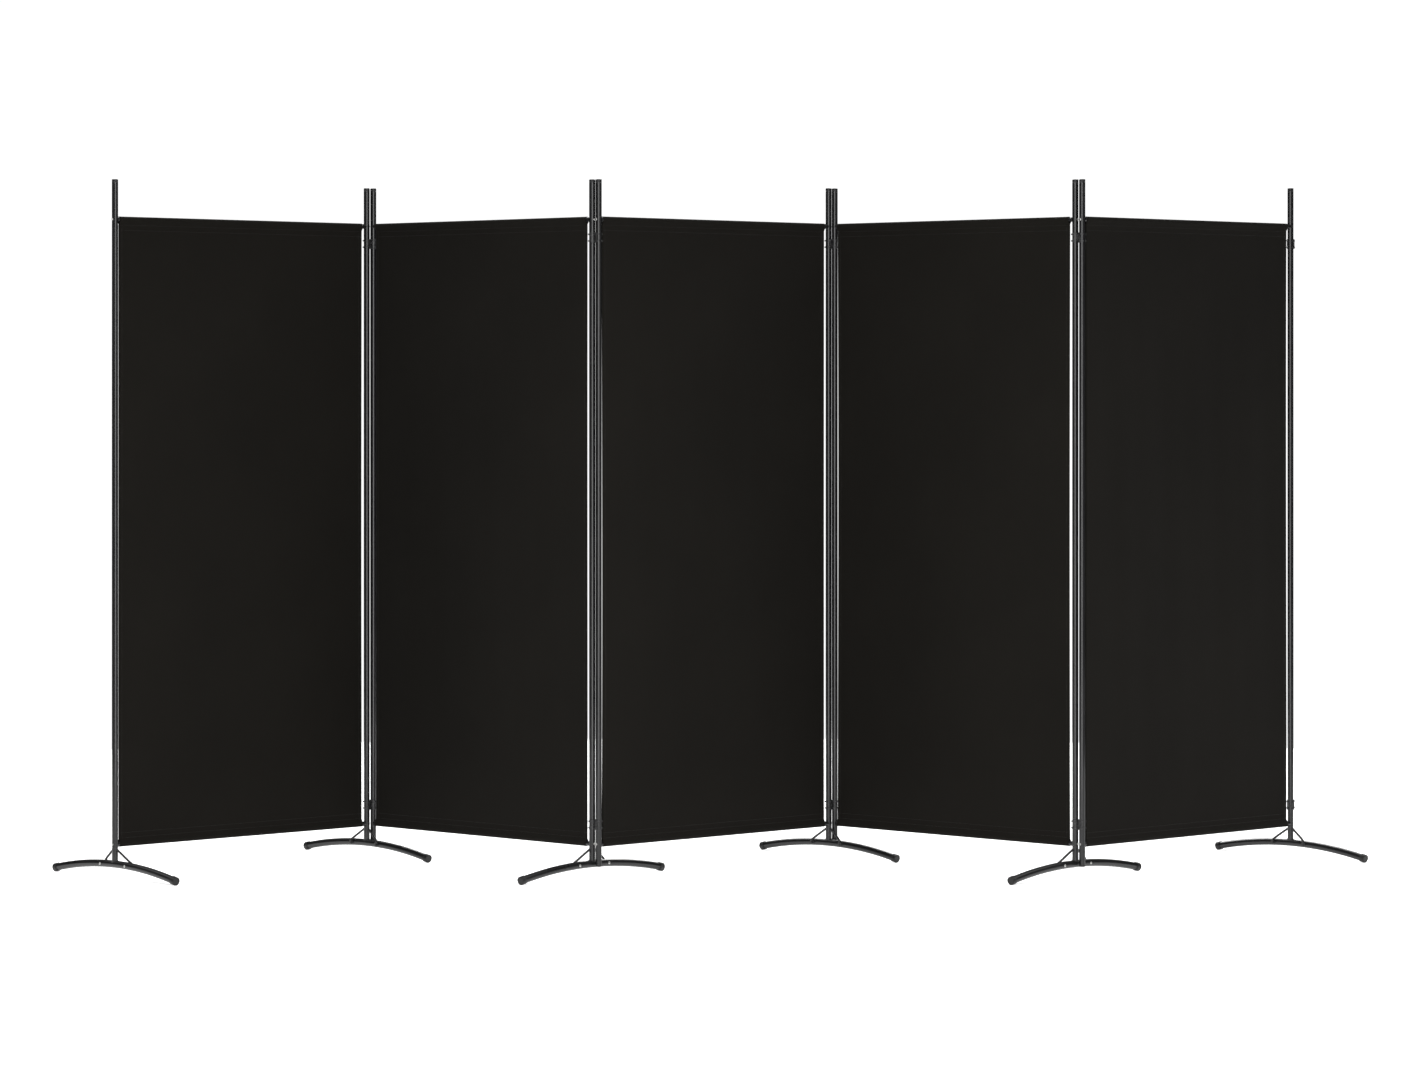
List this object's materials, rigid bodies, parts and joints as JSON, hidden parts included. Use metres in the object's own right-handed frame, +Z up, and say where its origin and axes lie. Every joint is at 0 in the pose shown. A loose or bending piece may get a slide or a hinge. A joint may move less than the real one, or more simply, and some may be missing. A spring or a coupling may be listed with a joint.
{
  "type": "folding room divider screen",
  "caption": "Freestanding folding privacy screen: fabric panels in tubular steel frames, clipped together at their poles and standing on arched feet.",
  "frame": {"origin": "on the floor, under the centre of the bounding box", "axes": "+X along the screen's line from the end without free clips to the end with them, +Y towards the back, +Z up"},
  "size_m": [3.4664, 0.9694, 1.8],
  "materials": {
    "pole_steel": "gloss black powder coat",
    "bar_steel": "gloss black powder coat",
    "foot_steel": "satin black powder coat",
    "cap_plastic": "fine-grained black plastic",
    "clip_plastic": "moulded black plastic",
    "cloth": "plain-woven matt polyester"
  },
  "bodies": {
    "panel_1": {"panel_1_left_pole": "pole_steel", "panel_1_right_pole": "pole_steel", "panel_1_top_bar": "bar_steel", "panel_1_bottom_bar": "bar_steel", "panel_1_fabric": "cloth", "foot_1_tube": "foot_steel", "foot_1_bracket": "foot_steel", "foot_1_front_cap": "cap_plastic", "foot_1_back_cap": "cap_plastic", "foot_2_tube": "foot_steel", "foot_2_bracket": "foot_steel", "foot_2_front_cap": "cap_plastic", "foot_2_back_cap": "cap_plastic"},
    "clips_1": {"clip_1_upper": "clip_plastic", "clip_1_lower": "clip_plastic"},
    "panel_2": {"panel_2_left_pole": "pole_steel", "panel_2_right_pole": "pole_steel", "panel_2_top_bar": "bar_steel", "panel_2_bottom_bar": "bar_steel", "panel_2_fabric": "cloth", "foot_3_tube": "foot_steel", "foot_3_bracket": "foot_steel", "foot_3_front_cap": "cap_plastic", "foot_3_back_cap": "cap_plastic"},
    "clips_2": {"clip_2_upper": "clip_plastic", "clip_2_lower": "clip_plastic"},
    "panel_3": {"panel_3_left_pole": "pole_steel", "panel_3_right_pole": "pole_steel", "panel_3_top_bar": "bar_steel", "panel_3_bottom_bar": "bar_steel", "panel_3_fabric": "cloth", "foot_4_tube": "foot_steel", "foot_4_bracket": "foot_steel", "foot_4_front_cap": "cap_plastic", "foot_4_back_cap": "cap_plastic"},
    "clips_3": {"clip_3_upper": "clip_plastic", "clip_3_lower": "clip_plastic"},
    "panel_4": {"panel_4_left_pole": "pole_steel", "panel_4_right_pole": "pole_steel", "panel_4_top_bar": "bar_steel", "panel_4_bottom_bar": "bar_steel", "panel_4_fabric": "cloth", "foot_5_tube": "foot_steel", "foot_5_bracket": "foot_steel", "foot_5_front_cap": "cap_plastic", "foot_5_back_cap": "cap_plastic"},
    "clips_4": {"clip_4_upper": "clip_plastic", "clip_4_lower": "clip_plastic"},
    "panel_5": {"panel_5_left_pole": "pole_steel", "panel_5_right_pole": "pole_steel", "panel_5_top_bar": "bar_steel", "panel_5_bottom_bar": "bar_steel", "panel_5_fabric": "cloth", "foot_6_tube": "foot_steel", "foot_6_bracket": "foot_steel", "foot_6_front_cap": "cap_plastic", "foot_6_back_cap": "cap_plastic"},
    "end_clip_upper": {"clip_5_upper": "clip_plastic"},
    "end_clip_lower": {"clip_5_lower": "clip_plastic"}
  },
  "joints": [
    {"name": "clips_3_swing", "type": "hinge", "parent": "panel_3", "child": "clips_3", "pos_m": [0.3029, 0.29455, 0], "axis": [0, 0, -1], "range_deg": [-22, 8]},
    {"name": "fold_3", "type": "hinge", "parent": "clips_3", "child": "panel_4", "pos_m": [0.31962, 0.30725, 0], "axis": [0, 0, -1], "range_deg": [-81, 46]},
    {"name": "clips_4_swing", "type": "hinge", "parent": "panel_4", "child": "clips_4", "pos_m": [0.92541, -0.28186, 0], "axis": [0, 0, 1], "range_deg": [-22, 8]},
    {"name": "fold_4", "type": "hinge", "parent": "clips_4", "child": "panel_5", "pos_m": [0.94213, -0.29455, 0], "axis": [0, 0, 1], "range_deg": [-81, 46]},
    {"name": "fold_2", "type": "hinge", "parent": "panel_3", "child": "clips_2", "pos_m": [-0.3029, -0.29455, 0], "axis": [0, 0, -1], "range_deg": [-81, 46]},
    {"name": "clips_2_swing", "type": "hinge", "parent": "clips_2", "child": "panel_2", "pos_m": [-0.31962, -0.28186, 0], "axis": [0, 0, -1], "range_deg": [-22, 8]},
    {"name": "fold_1", "type": "hinge", "parent": "panel_2", "child": "clips_1", "pos_m": [-0.92541, 0.30725, 0], "axis": [0, 0, 1], "range_deg": [-81, 46]},
    {"name": "clips_1_swing", "type": "hinge", "parent": "clips_1", "child": "panel_1", "pos_m": [-0.94213, 0.29455, 0], "axis": [0, 0, 1], "range_deg": [-22, 8]},
    {"name": "end_clip_upper_swing", "type": "hinge", "parent": "panel_5", "child": "end_clip_upper", "pos_m": [1.54792, 0.29455, 0], "axis": [0, 0, 1], "range_deg": [-166, 94]},
    {"name": "end_clip_lower_swing", "type": "hinge", "parent": "panel_5", "child": "end_clip_lower", "pos_m": [1.54792, 0.29455, 0], "axis": [0, 0, 1], "range_deg": [-166, 94]}
  ]
}
